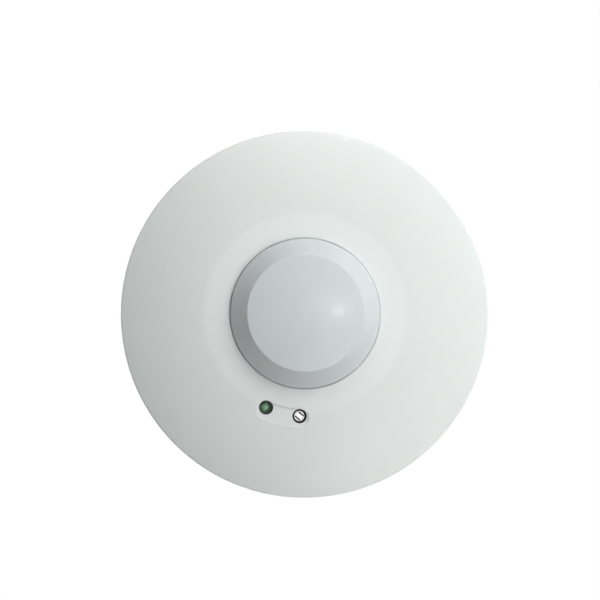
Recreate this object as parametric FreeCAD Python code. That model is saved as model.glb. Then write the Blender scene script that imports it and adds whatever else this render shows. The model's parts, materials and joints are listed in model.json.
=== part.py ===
import FreeCAD, Part
import math
import os

from FreeCAD import Vector

os.makedirs("parts", exist_ok=True)

# A flush ceiling microwave motion sensor. The ceiling's face is the plane z = 0,
# the room is below it and the body stands above it, in the hole cut for it.
# All sizes are millimetres, and a height is how far above the ceiling's face a thing lies.

# Clearances
seat_gap = 0.1
side_gap = 0.3
running_gap = 0.05
pin_gap = 0.15

# Rounding of small moulded edges
part_rounding = 0.4

# How far a cutting shape runs past what it cuts
overrun = 1.0

# Fascia, the round plate that covers the hole
fascia_radius = 53.0
fascia_wall = 2.0
rim_height = 3.4
rim_band = 2.4
rim_rounding = 0.6
plateau_radius = 29.0
plateau_depth = 7.5
crease_slope = 4.6
crease_width = 2.0
mouth_rounding = 0.4
rib_count = 12
rib_thickness = 1.2
rib_below_ceiling = 0.8

# Shallow curved recess in the face, with the lamp's hole and the adjuster's hole
recess_mid_radius = 29.93
recess_half_width = 2.68
recess_start_lean = 3.1
recess_end_lean = 22.3
recess_floor_depth = 7.05
recess_floor_wall = 1.5
recess_rounding = 0.12
recess_skirt = 1.3
lamp_circle_radius = 29.15
lamp_lean = 22.57
lamp_hole_radius = 2.05
lamp_shift = (0.27, 0.12)
adjuster_circle_radius = 29.47
adjuster_lean = 3.09
adjuster_hole_radius = 2.05

# Radome, the small dome over the antenna
dome_radius = 21.45
dome_gap = 0.12
dome_wall = 1.6
dome_stand = 1.1
dome_bevel_height = 4.4
dome_top_radius = 16.65
dome_crown = 1.4
crown_share_halfway = 0.75
dome_edge_rounding = 0.5
dome_lip_reach = 1.6
dome_lip_thickness = 1.2

# Hole in the ceiling that the sensor is pushed through
cutout_radius = 38.0

# Housing, the cup behind the fascia
housing_cutout_gap = 2.8
housing_taper = 0.6
housing_wall = 1.8
housing_front_depth = 4.0
housing_height = 28.0
rear_wall = 2.0
flat_start = 3.0
lip_reach = 1.5
lip_thickness = 1.6
board_ledge = 0.8
outer_rib_count = 5
outer_rib_spacing = 11.0
outer_rib_reach = 0.7

# Snap fingers of the fascia, which hold the housing's lip
finger_count = 4
finger_span = 24.0
finger_wall = 1.4
nose_length = 1.6

# Boards
board_thickness = 1.6
main_board_depth = 1.0
power_board_drop = 8.0
antenna_board_radius = 17.8
antenna_board_thickness = 1.0
antenna_board_depth = 8.0
pin_width = 0.64
pin_pitch = 2.54
pin_stub = 0.8

# Screws and the bosses that they go into
screw_radius = 1.0
screw_head_radius = 1.9
screw_head_height = 1.3
screw_length = 5.5
head_bevel_share = 0.3
drive_depth_share = 0.5
drive_reach_share = 1.1
drive_width_share = 0.28
boss_radius = 2.6
main_boss_inset = 4.4
main_boss_height = 8.0
main_boss_angles = (90.0, 210.0, 330.0)
power_boss_places = ((-21.0, 14.0), (21.0, -14.0), (0.0, -25.5))
cover_boss_places = ((21.0, 14.0), (-21.0, -14.0))

# Terminal cover on the housing's rear wall
cover_height = 17.0
cover_wall = 2.0
cover_rounding = 2.5
spigot_height = 1.6
spigot_wall = 1.2
cover_screw_radius = 1.5
cover_head_radius = 2.6
cover_head_height = 1.8
cover_post_radius = 4.0
cover_well_depth = 6.0
cover_screw_length = 14.5
entry_rise = 6.0
entry_radius = 4.5
entry_wall = 1.5
entry_stand = 2.4

# Cable clamp behind the entry
clamp_place = 21.0
clamp_width = 4.6
clamp_thickness = 2.0
clamp_post_spacing = 19.0
clamp_post_radius = 2.9
clamp_post_height = 8.0
clamp_arch_radius = 4.2
clamp_end_rounding = 2.1
saddle_height = 1.5

# Terminal block, four ways
ways = 4
way_pitch = 6.0
block_depth = 11.0
block_height = 16.8
block_place = -10.0
block_end_wall = 0.9
well_radius = 2.2
cage_width = 4.4
cage_height = 5.6
cage_length = 6.0
cage_gap = 0.1
cage_floor = 7.0
wire_hole_radius = 1.6
wire_hole_rise = 0.6
terminal_screw_radius = 1.3
terminal_head_radius = 2.0
terminal_head_height = 1.5
terminal_head_stand = 1.2
driver_slot_width = 0.7
driver_slot_depth = 0.7
tail_width = 1.0

# Spring clips
hinge_cutout_gap = 4.1
hinge_stand = 3.5
hinge_height = 18.0
hinge_pin_radius = 1.0
hinge_pin_overhang = 0.5
hinge_pin_bevel = 0.3
ear_radius = 2.5
ear_inner = 5.6
ear_thickness = 2.0
ear_foot_below = 2.0
ear_foot_above = 1.0
arm_rest_angle = -42.0
arm_length = 22.0
arm_half_width = 5.2
arm_thickness = 2.0
arm_drop = 3.1
arm_end_rounding = 3.1
arm_stiffener_length = 15.4
arm_stiffener_inset = 0.6
arm_open_front = 0.4
arm_groove_depth = 1.3
arm_groove_gap = 0.15
cheek_radius = 2.4
cheek_inner = 3.2
heel_drop = 1.2
foot_radius = 1.6
foot_half_width = 4.2
spring_wire = 0.8
spring_mean_radius = 1.95
spring_full_turns = 3
spring_pitch = 1.35
spring_wall_leg = 9.0
spring_arm_leg = 13.0
spring_pad_width = 5.0
spring_pad_start = 23.0
spring_pad_end = 27.0

# Lamp and adjuster on the main board
lamp_radius = 1.5
lamp_flange_radius = 1.9
lamp_flange_height = 1.0
lamp_height = 5.6
lead_inside_lamp = 2.65
lamp_cup_rise = 0.5
lamp_cup_radius = 0.5
lead_width = 0.5
lead_spacing = 1.27
trimmer_width = 6.0
trimmer_height = 2.2
rotor_radius = 1.65
rotor_rise = 3.4
rotor_stand = 0.05
rotor_shaft_radius = 0.9
rotor_shaft_floor = 0.55
rotor_rounding = 0.2
rotor_bridge_size = (1.9, 1.15)
rotor_bridge_drop = 0.2
rotor_cut_width = 0.4
rotor_cut_depth = 0.55
rotor_angle = 40.0

# Parts that hang below the power board, with sizes as width, depth and height
relay_place = (-8.5, 0.25)
relay_size = (19.0, 15.5, 15.5)
relay_pin_spacing = (12.6, 8.4)
film_place = (-7.0, 13.5)
film_size = (18.0, 8.0, 14.0)
film_pin_spacing = 15.0
cased_part_rounding = 0.8
core_place = (11.5, 1.0)
core_size = (14.0, 6.2, 12.0)
core_stand = 1.5
bobbin_size = (8.6, 13.0, 8.0)
bobbin_rounding = 1.5
bobbin_foot_reach = 0.5
bobbin_neck_inset = 1.5
transformer_pin_spacing = (6.0, 9.8)
canister_place = (14.5, 14.5)
canister_radius = 5.0
canister_height = 15.0
canister_rounding = 0.9
canister_groove_start = 1.6
canister_groove_end = 2.4
canister_groove_depth = 0.35
canister_pin_spacing = 5.0
disc_place = (6.0, 14.5)
disc_radius = 5.0
disc_thickness = 3.6
disc_bevel = 1.0
disc_stand = 1.0
disc_pin_spacing = 7.5
fuse_place = (0.0, -17.2)
fuse_length = 20.0
fuse_radius = 2.6
fuse_cap_length = 5.0
fuse_cap_wall = 0.3
fuse_stand = 0.5
fuse_pin_spacing = 17.0
link_boss_gap = 0.73
link_pins = 6

# Chips on the main board's rear face
chip_body = (8.7, 3.9, 1.5)
small_chip_body = (4.9, 3.9, 1.5)
chip_place = (-8.0, -4.0)
small_chip_place = (8.0, -4.0)
chip_pitch = 1.27
chip_lead_width = 0.4
chip_lead_thickness = 0.2
chip_lead_reach = 1.1
chip_lead_foot = 0.6
chip_lead_rise = 0.55
passive_size = (2.0, 1.25, 0.6)
passive_count = 6
passive_spacing = 4.0
passive_row = 6.0

# Antenna module
patch_size = (6.4, 5.0)
patch_thickness = 0.1
patch_spacing = (13.0, 11.0)
feed_width = 0.8
shield_size = (18.0, 13.0, 3.0)
shield_wall = 0.3
shield_place = (0.0, -3.0)
antenna_header_place = (0.0, 13.5)
antenna_header_pins = 4
post_places = ((-12.5, -9.5), (12.5, -9.5))
post_radius = 1.5

# Heights worked out from the sizes above
X = Vector(1, 0, 0)
Y = Vector(0, 1, 0)
Z = Vector(0, 0, 1)
tolerance = 0.001
housing_radius = cutout_radius - housing_cutout_gap
housing_rear_radius = housing_radius - housing_taper
hinge_reach = cutout_radius - hinge_cutout_gap
flat_distance = hinge_reach - hinge_stand
plateau_z = -plateau_depth
plateau_back_z = fascia_wall - plateau_depth
mouth_radius = dome_radius + dome_gap
skirt_z = plateau_z - dome_stand
dome_shoulder_z = skirt_z - dome_bevel_height
dome_tip_z = dome_shoulder_z - dome_crown
board_front_z = -main_board_depth
board_back_z = board_front_z + board_thickness
ledge_z = board_back_z + seat_gap
front_bore_radius = housing_radius - housing_wall
main_boss_circle_radius = front_bore_radius - main_boss_inset
rear_bore_radius = front_bore_radius - board_ledge
main_board_radius = front_bore_radius - side_gap
rear_inner_z = housing_height - rear_wall
inner_flat = flat_distance - housing_wall
power_board_height = housing_height - power_board_drop
power_board_radius = rear_bore_radius - 2 * side_gap
power_back_z = power_board_height + board_thickness
power_boss_z = power_back_z + seat_gap
cover_base_z = housing_height + seat_gap
cover_top_z = cover_base_z + cover_height
cover_radius = housing_rear_radius
entry_height = housing_height + entry_rise
entry_reach = cover_radius + entry_stand
entry_root = cover_radius - 2 * cover_wall
block_bottom_z = power_back_z + seat_gap
block_top_z = block_bottom_z + block_height
block_width = ways * way_pitch + 2 * block_end_wall
lip_back_z = lip_thickness - housing_front_depth
recess_floor_z = -recess_floor_depth
link_place = (0.0, main_boss_circle_radius - boss_radius - link_boss_gap - pin_pitch / 2)
hinge_pin_length = 2 * (ear_inner + ear_thickness + hinge_pin_overhang)


def box(x, y, z):
    """A block between two values along each axis."""
    block = Part.makeBox(x[1] - x[0], y[1] - y[0], z[1] - z[0])
    block.translate(Vector(x[0], y[0], z[0]))
    return block


def centred_box(place, size, z):
    """A block of a given width and depth about a place in plan."""
    x = (place[0] - size[0] / 2, place[0] + size[0] / 2)
    y = (place[1] - size[1] / 2, place[1] + size[1] / 2)
    return box(x, y, z)


def upright(radius, z, place=(0.0, 0.0)):
    """A round bar that stands between two heights."""
    return Part.makeCylinder(radius, z[1] - z[0], Vector(place[0], place[1], z[0]), Z)


def tube(outer, inner, z, place=(0.0, 0.0)):
    return upright(outer, z, place).cut(upright(inner, (z[0] - overrun, z[1] + overrun), place))


def lying(radius, x, y, height):
    """A round bar along Y, between two values of y."""
    return Part.makeCylinder(radius, y[1] - y[0], Vector(x, y[0], height), Y)


def joined(first, others):
    """One solid made of several that touch or overlap."""
    return first.fuse(list(others)).removeSplitter()


def ordered(first, second):
    return (min(first, second), max(first, second))


def polar(radius, angle):
    return (radius * math.cos(math.radians(angle)), radius * math.sin(math.radians(angle)))


def face_place(radius, lean):
    """A place on the face, at an angle from straight down the front towards +X."""
    return (radius * math.sin(math.radians(lean)), -radius * math.cos(math.radians(lean)))


lamp_hole_place = face_place(lamp_circle_radius, lamp_lean)
lamp_place = (lamp_hole_place[0] + lamp_shift[0], lamp_hole_place[1] + lamp_shift[1])
adjuster_place = face_place(adjuster_circle_radius, adjuster_lean)


class HalfSection:
    """A closed outline of radius and height, drawn from corner to corner and spun about Z."""

    def __init__(self, radius, height):
        self.start = Vector(radius, 0, height)
        self.last = self.start
        self.edges = []

    def line(self, radius, height):
        point = Vector(radius, 0, height)
        self.edges.append(Part.makeLine(self.last, point))
        self.last = point
        return self

    def arc(self, through, radius, height):
        point = Vector(radius, 0, height)
        middle = Vector(through[0], 0, through[1])
        self.edges.append(Part.Arc(self.last, middle, point).toShape())
        self.last = point
        return self

    def spun(self):
        self.line(self.start.x, self.start.z)
        solid = Part.Face(Part.Wire(self.edges)).revolve(Vector(), Z, 360)
        return solid if solid.Volume > 0 else solid.reversed()


def rings_at(shape, radius, height):
    """The round edges of a given radius that lie at a given height."""
    found = []
    for edge in shape.Edges:
        if edge.Degenerated or not isinstance(edge.Curve, Part.Circle):
            continue
        curve = edge.Curve
        if abs(curve.Radius - radius) < tolerance and abs(curve.Center.z - height) < tolerance:
            found.append(edge)
    return found


def edges_along(shape, direction, low=None):
    """The straight edges that run along a direction, or those of them above a height."""
    found = []
    for edge in shape.Edges:
        if edge.Degenerated or not isinstance(edge.Curve, Part.Line):
            continue
        if abs(abs(edge.Curve.Direction.dot(direction)) - 1) > tolerance:
            continue
        if low is None or edge.BoundBox.ZMin > low:
            found.append(edge)
    return found


def wedge(radius, z, angle, span):
    """A slice of a cylinder, as a pie is cut, centred on an angle."""
    slice_ = Part.makeCylinder(radius, z[1] - z[0], Vector(0, 0, z[0]), Z, span)
    slice_.rotate(Vector(), Z, angle - span / 2)
    return slice_


def turned_copy(shape):
    """The same part on the other side, half a turn about Z away."""
    other = shape.copy()
    other.rotate(Vector(), Z, 180)
    return other


# The crease is a narrow arc that leaves the flat land level and ends at the crease's slope.
# The curved face is one arc from there to the rim.
crease_turn = math.radians(crease_slope)
crease_curve_radius = crease_width / math.sin(crease_turn)


def crease_point(share):
    """A radius and a height on the crease, a share of its turn away from the flat land."""
    turn = crease_turn * share
    drop = crease_curve_radius * (1 - math.cos(turn))
    return (plateau_radius - crease_width / 2 + crease_curve_radius * math.sin(turn), plateau_z + drop)


rim_corner = (fascia_radius, -rim_height)
crease_end = crease_point(1)
face_run = rim_corner[0] - crease_end[0]
face_rise = rim_corner[1] - crease_end[1]
face_bend = math.atan2(face_rise, face_run) - crease_turn
face_curve_radius = math.hypot(face_run, face_rise) / (2 * math.sin(face_bend))
face_centre = Vector(
    crease_end[0] - face_curve_radius * math.sin(crease_turn),
    0,
    crease_end[1] + face_curve_radius * math.cos(crease_turn),
)


def face_z(radius, inset=0.0):
    """The height of the curved face at a radius, or of a surface a given depth inside it."""
    reach = radius - face_centre.x
    return face_centre.z - math.sqrt((face_curve_radius - inset) ** 2 - reach**2)


def curved_slot(half_width, z, rounding=0.0):
    """A bent slot with round ends that takes in the adjuster's hole and the lamp's."""
    inner = recess_mid_radius - half_width
    outer = recess_mid_radius + half_width
    middle_lean = (recess_start_lean + recess_end_lean) / 2
    end_lean = math.degrees(half_width / recess_mid_radius)

    def point(radius, lean):
        place = face_place(radius, lean)
        return Vector(place[0], place[1], z[0])

    inner_edge = Part.Arc(
        point(inner, recess_start_lean), point(inner, middle_lean), point(inner, recess_end_lean)
    )
    lamp_end = Part.Arc(
        point(inner, recess_end_lean),
        point(recess_mid_radius, recess_end_lean + end_lean),
        point(outer, recess_end_lean),
    )
    outer_edge = Part.Arc(
        point(outer, recess_end_lean), point(outer, middle_lean), point(outer, recess_start_lean)
    )
    adjuster_end = Part.Arc(
        point(outer, recess_start_lean),
        point(recess_mid_radius, recess_start_lean - end_lean),
        point(inner, recess_start_lean),
    )
    arcs = [inner_edge, lamp_end, outer_edge, adjuster_end]
    outline = Part.Wire([arc.toShape() for arc in arcs])
    slot = Part.Face(outline).extrude(Vector(0, 0, z[1] - z[0]))
    if rounding:
        floor = [edge for edge in slot.Edges if edge.BoundBox.ZMin > z[1] - tolerance]
        slot = slot.makeFillet(rounding, floor)
    return slot


def face_envelope():
    """The space between the ceiling and the face, with the rim rounded."""
    middle = (fascia_radius + plateau_radius) / 2
    section = HalfSection(0, 0)
    section.line(fascia_radius, 0).line(*rim_corner)
    section.arc((middle, face_z(middle)), *crease_end)
    section.arc(crease_point(0.5), *crease_point(0)).line(0, plateau_z)
    shape = section.spun()
    rim_edges = rings_at(shape, fascia_radius, 0) + rings_at(shape, fascia_radius, -rim_height)
    return shape.makeFillet(rim_rounding, rim_edges)


def face_inside(inset):
    """The space behind the face, a given depth inside it, as far out as the rim's band."""
    reach = fascia_radius - rim_band
    middle = (fascia_radius + plateau_radius) / 2
    section = HalfSection(0, overrun)
    section.line(reach, overrun).line(reach, face_z(reach, inset))
    section.arc((middle, face_z(middle, inset)), plateau_radius, face_z(plateau_radius, inset))
    section.line(plateau_radius - fascia_wall, plateau_z + inset).line(0, plateau_z + inset)
    return section.spun()


def finger_ring():
    """The section of the snap fingers, all the way round."""
    inner = housing_radius + lip_reach + side_gap
    outer = inner + finger_wall
    low = face_z(outer, fascia_wall / 2)
    nose_radius = housing_radius + side_gap
    nose_z = lip_back_z + seat_gap
    section = HalfSection(inner, low)
    section.line(outer, low).line(outer, -rib_below_ceiling)
    section.line(inner, -rib_below_ceiling).line(nose_radius, nose_z + nose_length / 2)
    section.line(nose_radius, nose_z).line(inner, nose_z)
    return section.spun()


def fascia():
    """The face plate: a shallow shell with a flat land round the dome, and a rim on the ceiling."""
    shell = face_envelope().cut(face_inside(fascia_wall))
    room = face_inside(fascia_wall / 4)
    mouth = upright(mouth_radius, (plateau_z - overrun, overrun))
    shell = shell.cut(mouth)
    shell = shell.makeFillet(mouth_rounding, rings_at(shell, mouth_radius, plateau_z))

    seat_inner = front_bore_radius + side_gap
    seat_outer = housing_radius + lip_reach
    seat_z = (face_z(seat_outer, fascia_wall / 2), -housing_front_depth - seat_gap)
    additions = [tube(seat_outer, seat_inner, seat_z)]
    fingers = finger_ring()
    for index in range(finger_count):
        angle = 360 / finger_count * (index + 0.5)
        slice_ = wedge(fascia_radius, (plateau_z, overrun), angle, finger_span)
        additions.append(fingers.common(slice_))
    rib_inner = seat_outer + side_gap + finger_wall + side_gap
    rib_half = rib_thickness / 2
    for index in range(rib_count):
        rib = box((rib_inner, fascia_radius), (-rib_half, rib_half), (plateau_z, -rib_below_ceiling))
        rib.rotate(Vector(), Z, 360 / rib_count * index)
        additions.append(rib.common(room))
    floor_z = (plateau_z, recess_floor_z + recess_floor_wall)
    additions.append(curved_slot(recess_half_width + recess_skirt, floor_z).common(room))
    body = shell.fuse(additions)

    recess = curved_slot(recess_half_width, (plateau_z - overrun, recess_floor_z), recess_rounding)
    hole_z = (plateau_z - overrun, recess_floor_z + recess_floor_wall + overrun)
    lamp_hole = upright(lamp_hole_radius, hole_z, lamp_hole_place)
    adjuster_hole = upright(adjuster_hole_radius, hole_z, adjuster_place)
    return body.cut([recess, lamp_hole, adjuster_hole])


def radome():
    """The dome: a skirt that reaches back to the main board, a bevel and a slightly crowned top."""
    back_z = board_front_z - seat_gap
    lip_front = plateau_back_z + seat_gap
    lip_back = lip_front + dome_lip_thickness
    lip_radius = dome_radius + dome_lip_reach
    inner_radius = dome_radius - dome_wall
    crown_mid = dome_top_radius / 2
    crown_z = dome_shoulder_z - dome_crown * crown_share_halfway
    inner_top = dome_top_radius - dome_wall / 2
    section = HalfSection(inner_radius, back_z)
    section.line(dome_radius, back_z).line(dome_radius, lip_back)
    section.line(lip_radius, lip_back).line(lip_radius, lip_front)
    section.line(dome_radius, lip_front).line(dome_radius, skirt_z)
    section.line(dome_top_radius, dome_shoulder_z)
    section.arc((crown_mid, crown_z), 0, dome_tip_z)
    section.line(0, dome_tip_z + dome_wall)
    section.arc((inner_top / 2, crown_z + dome_wall), inner_top, dome_shoulder_z + dome_wall)
    section.line(inner_radius, skirt_z + dome_wall / 2)
    shape = section.spun()
    edges = rings_at(shape, dome_radius, skirt_z)
    edges += rings_at(shape, dome_top_radius, dome_shoulder_z)
    return shape.makeFillet(dome_edge_rounding, edges)


def flatted(radius, rear_radius, flat, z):
    """A round, slightly tapered bar with a flat on each side."""
    if abs(radius - rear_radius) < tolerance:
        bar = upright(radius, z)
    else:
        bar = Part.makeCone(radius, rear_radius, z[1] - z[0], Vector(0, 0, z[0]), Z)
    return bar.common(box((-flat, flat), (-radius, radius), z))


def spring_pad_reach():
    """How far from the axis of the sensor the spring's straight leg leans on its pad."""
    return hinge_reach - spring_mean_radius - spring_wire / 2 - seat_gap


def clip_ears():
    """The two ears of one clip, with the pad that its spring leans on."""
    pieces = []
    root = flat_distance - housing_wall / 2
    for side in (-1, 1):
        low, high = ordered(side * ear_inner, side * (ear_inner + ear_thickness))
        foot_low = hinge_height - ear_radius - ear_foot_below
        foot_high = hinge_height + ear_radius + ear_foot_above
        points = [
            Vector(root, low, foot_low),
            Vector(flat_distance, low, foot_low),
            Vector(hinge_reach, low, hinge_height - ear_radius),
            Vector(hinge_reach, low, hinge_height + ear_radius),
            Vector(flat_distance, low, foot_high),
            Vector(root, low, foot_high),
        ]
        plate = Part.Face(Part.makePolygon(points + points[:1])).extrude(Vector(0, ear_thickness, 0))
        ear = plate.fuse(lying(ear_radius, hinge_reach, (low, high), hinge_height))
        pieces.append(ear)
    pad = box(
        (root, spring_pad_reach()),
        (-spring_pad_width / 2, spring_pad_width / 2),
        (spring_pad_start, spring_pad_end),
    )
    return pieces + [pad]


def boss(place, z):
    return upright(boss_radius, z, place)


def housing():
    """The cup: a lip in front for the fascia's fingers, flats for the clips, and a rear wall."""
    front = -housing_front_depth
    outer = HalfSection(0, front)
    lip_radius = housing_radius + lip_reach
    outer.line(lip_radius, front).line(lip_radius, lip_back_z).line(housing_radius, lip_back_z)
    outer.line(housing_rear_radius, housing_height).line(0, housing_height)
    shape = outer.spun()
    for side in (-1, 1):
        near = side * flat_distance
        far = side * (lip_radius + overrun)
        span = (-housing_radius, housing_radius)
        outside = (min(near, far), max(near, far))
        shape = shape.cut(box(outside, span, (flat_start, housing_height + overrun)))

    front_bore = upright(front_bore_radius, (front - overrun, ledge_z))
    rear_bore_z = (ledge_z - tolerance, rear_inner_z)
    rear_bore = flatted(rear_bore_radius, rear_bore_radius, inner_flat, rear_bore_z)
    shape = shape.cut([front_bore, rear_bore])

    additions = []
    main_boss_z = (ledge_z, ledge_z + main_boss_height)
    for angle in main_boss_angles:
        additions.append(boss(polar(main_boss_circle_radius, angle), main_boss_z))
        web = box(
            (main_boss_circle_radius, rear_bore_radius + housing_wall / 2),
            (-rib_thickness / 2, rib_thickness / 2),
            main_boss_z,
        )
        web.rotate(Vector(), Z, angle)
        additions.append(web)
    for place in power_boss_places + cover_boss_places:
        additions.append(boss(place, (power_boss_z, rear_inner_z + rear_wall / 2)))

    for side in (-1, 1):
        for index in range(outer_rib_count):
            along = (index - (outer_rib_count - 1) / 2) * outer_rib_spacing
            lean = math.degrees(math.asin(along / housing_radius))
            rib = box(
                (housing_rear_radius - housing_wall / 2, housing_radius + outer_rib_reach),
                (-rib_thickness / 2, rib_thickness / 2),
                (rib_below_ceiling, rear_inner_z),
            )
            rib.rotate(Vector(), Z, side * 90 + lean)
            additions.append(rib)

    ears = clip_ears()
    additions += ears
    additions += [turned_copy(ear) for ear in ears]

    spigot_radius = cover_radius - cover_wall - side_gap
    spigot_flat = flat_distance - cover_wall - side_gap
    spigot_z = (housing_height - rear_wall / 2, housing_height + spigot_height)
    spigot = flatted(spigot_radius, spigot_radius, spigot_flat, spigot_z)
    hollow_radius = spigot_radius - spigot_wall
    hollow = flatted(hollow_radius, hollow_radius, spigot_flat - spigot_wall, spigot_z)
    additions.append(spigot.cut(hollow))

    post_z = (housing_height - rear_wall / 2, housing_height + clamp_post_height)
    for place in clamp_post_places:
        additions.append(upright(clamp_post_radius, post_z, place))
    saddle_width = clamp_post_spacing - clamp_post_radius
    saddle_z = (post_z[0], housing_height + saddle_height)
    additions.append(centred_box((0, clamp_place), (saddle_width, clamp_width), saddle_z))
    shape = shape.fuse(additions)

    cuts = []
    bore = screw_radius + running_gap
    main_bore_z = (ledge_z - overrun, ledge_z + screw_length)
    for angle in main_boss_angles:
        cuts.append(upright(bore, main_bore_z, polar(main_boss_circle_radius, angle)))
    power_bore_z = (power_boss_z - overrun, power_boss_z + screw_length - rear_wall / 2)
    for place in power_boss_places:
        cuts.append(upright(bore, power_bore_z, place))
    cover_bore = cover_screw_radius + running_gap
    post_room_z = (housing_height, housing_height + spigot_height)
    for place in cover_boss_places:
        cuts.append(upright(cover_bore, (power_boss_z - overrun, housing_height + overrun), place))
        cuts.append(upright(cover_post_radius + side_gap, post_room_z, place))
    for place in clamp_post_places:
        cuts.append(upright(bore, (housing_height + overrun, post_z[1] + overrun), place))
    pin_span = (-hinge_pin_length, hinge_pin_length)
    for side in (-1, 1):
        axis_x = side * hinge_reach
        cuts.append(lying(hinge_pin_radius + running_gap, axis_x, pin_span, hinge_height))
    window_size = (block_width + 2 * side_gap, block_depth + 2 * side_gap)
    window_z = (rear_inner_z - overrun, housing_height + overrun)
    cuts.append(centred_box((0, block_place), window_size, window_z))
    return shape.cut(cuts).removeSplitter()


def cover():
    """The terminal cover: a cap over the rear wall, with the cable's entry on its +Y side."""
    base = cover_base_z
    outer = flatted(cover_radius, cover_radius, flat_distance, (base, cover_top_z))
    outer = outer.makeFillet(cover_rounding, edges_at_top(outer, cover_top_z))
    inner_z = (base - overrun, cover_top_z - cover_wall)
    inner_radius = cover_radius - cover_wall
    hollow = flatted(inner_radius, inner_radius, flat_distance - cover_wall, inner_z)
    entry_outer = entry_radius + entry_wall
    collar = lying(entry_outer, 0, (entry_root, entry_reach), entry_height)
    collar = collar.makeFillet(mouth_rounding, edges_at_end(collar, entry_reach))
    shape = outer.fuse(collar).cut(hollow)

    posts = []
    cuts = [lying(entry_radius, 0, (entry_root - cover_wall, entry_reach + overrun), entry_height)]
    head_z = cover_top_z - cover_well_depth
    for place in cover_boss_places:
        posts.append(upright(cover_post_radius, (base, cover_top_z - cover_wall / 2), place))
        cuts.append(upright(cover_screw_radius + pin_gap, (base - overrun, cover_top_z + overrun), place))
        cuts.append(upright(cover_head_radius + pin_gap, (head_z, cover_top_z + overrun), place))
    return shape.fuse(posts).cut(cuts).removeSplitter()


def edges_at_top(shape, height):
    return [edge for edge in shape.Edges if edge.BoundBox.ZMin > height - tolerance]


def edges_at_end(shape, y):
    return [edge for edge in shape.Edges if edge.BoundBox.YMin > y - tolerance]


def screw(place, seat_z, towards, radius, head_radius, head_height, length):
    """A pan-headed screw. Its head lies on a seat and its shank goes up or down from there."""
    drive_depth = head_height * drive_depth_share
    if towards > 0:
        head_z = (seat_z - seat_gap - head_height, seat_z - seat_gap)
        shank_z = (seat_z - seat_gap, seat_z + length)
        drive_z = (head_z[0] - overrun, head_z[0] + drive_depth)
    else:
        head_z = (seat_z + seat_gap, seat_z + seat_gap + head_height)
        shank_z = (seat_z - length, seat_z + seat_gap)
        drive_z = (head_z[1] - drive_depth, head_z[1] + overrun)
    head = upright(head_radius, head_z, place)
    top = head_z[0] if towards > 0 else head_z[1]
    head = head.makeChamfer(head_height * head_bevel_share, rings_at(head, head_radius, top))
    arm = head_radius * drive_reach_share
    slot = head_radius * drive_width_share
    cross = centred_box(place, (arm, slot), drive_z).fuse(centred_box(place, (slot, arm), drive_z))
    return head.fuse(upright(radius, shank_z, place)).cut(cross).removeSplitter()


def row_places(place, count, pitch):
    return [(place[0] + (index - (count - 1) / 2) * pitch, place[1]) for index in range(count)]


def corner_places(place, spacing):
    return [
        (place[0] + side * spacing[0] / 2, place[1] + end * spacing[1] / 2)
        for side in (-1, 1)
        for end in (-1, 1)
    ]


def square_pins(places, width, z):
    return [centred_box(place, (width, width), z) for place in places]


def pin_holes(places, width, z):
    """Square clearance holes in a board for square pins."""
    return square_pins(places, width + 2 * pin_gap, (z[0] - overrun, z[1] + overrun))


trimmer_pin_places = [
    (adjuster_place[0] - pin_pitch, adjuster_place[1] + pin_pitch / 2),
    (adjuster_place[0] + pin_pitch, adjuster_place[1] + pin_pitch / 2),
]
lamp_lead_places = [
    (lamp_place[0] - lead_spacing / 2, lamp_place[1]),
    (lamp_place[0] + lead_spacing / 2, lamp_place[1]),
]
block_tail_places = row_places((0.0, block_place), ways, way_pitch)
relay_pin_places = corner_places(relay_place, relay_pin_spacing) + [relay_place]
film_pin_places = row_places(film_place, 2, film_pin_spacing)
canister_pin_places = row_places(canister_place, 2, canister_pin_spacing)
disc_pin_places = [
    (disc_place[0], disc_place[1] - disc_pin_spacing / 2),
    (disc_place[0], disc_place[1] + disc_pin_spacing / 2),
]
fuse_pin_places = row_places(fuse_place, 2, fuse_pin_spacing)
transformer_pin_places = corner_places(core_place, transformer_pin_spacing)
link_pin_places = row_places(link_place, link_pins, pin_pitch)
antenna_pin_places = row_places(antenna_header_place, antenna_header_pins, pin_pitch)
clamp_post_places = row_places((0.0, clamp_place), 2, clamp_post_spacing)


def main_board():
    """The round control board that lies against the housing's ledge."""
    z = (board_front_z, board_back_z)
    board = upright(main_board_radius, z)
    cuts = pin_holes(trimmer_pin_places + lamp_lead_places, lead_width, z)
    cuts += pin_holes(antenna_pin_places + link_pin_places, pin_width, z)
    hole_z = (z[0] - overrun, z[1] + overrun)
    for angle in main_boss_angles:
        place = polar(main_boss_circle_radius, angle)
        cuts.append(upright(screw_radius + pin_gap, hole_z, place))
    return board.cut(cuts)


def power_board():
    """The mains board that carries the relay, the supply and the terminals."""
    z = (power_board_height, power_back_z)
    board = flatted(power_board_radius, power_board_radius, inner_flat - side_gap, z)
    places = relay_pin_places + film_pin_places + canister_pin_places + disc_pin_places
    places += fuse_pin_places + transformer_pin_places
    cuts = pin_holes(places, lead_width, z)
    cuts += pin_holes(link_pin_places, pin_width, z)
    cuts += pin_holes(block_tail_places, tail_width, z)
    hole_z = (z[0] - overrun, z[1] + overrun)
    for place in power_boss_places:
        cuts.append(upright(screw_radius + pin_gap, hole_z, place))
    for place in cover_boss_places:
        cuts.append(upright(cover_screw_radius + 2 * pin_gap, hole_z, place))
    return board.cut(cuts)


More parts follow.
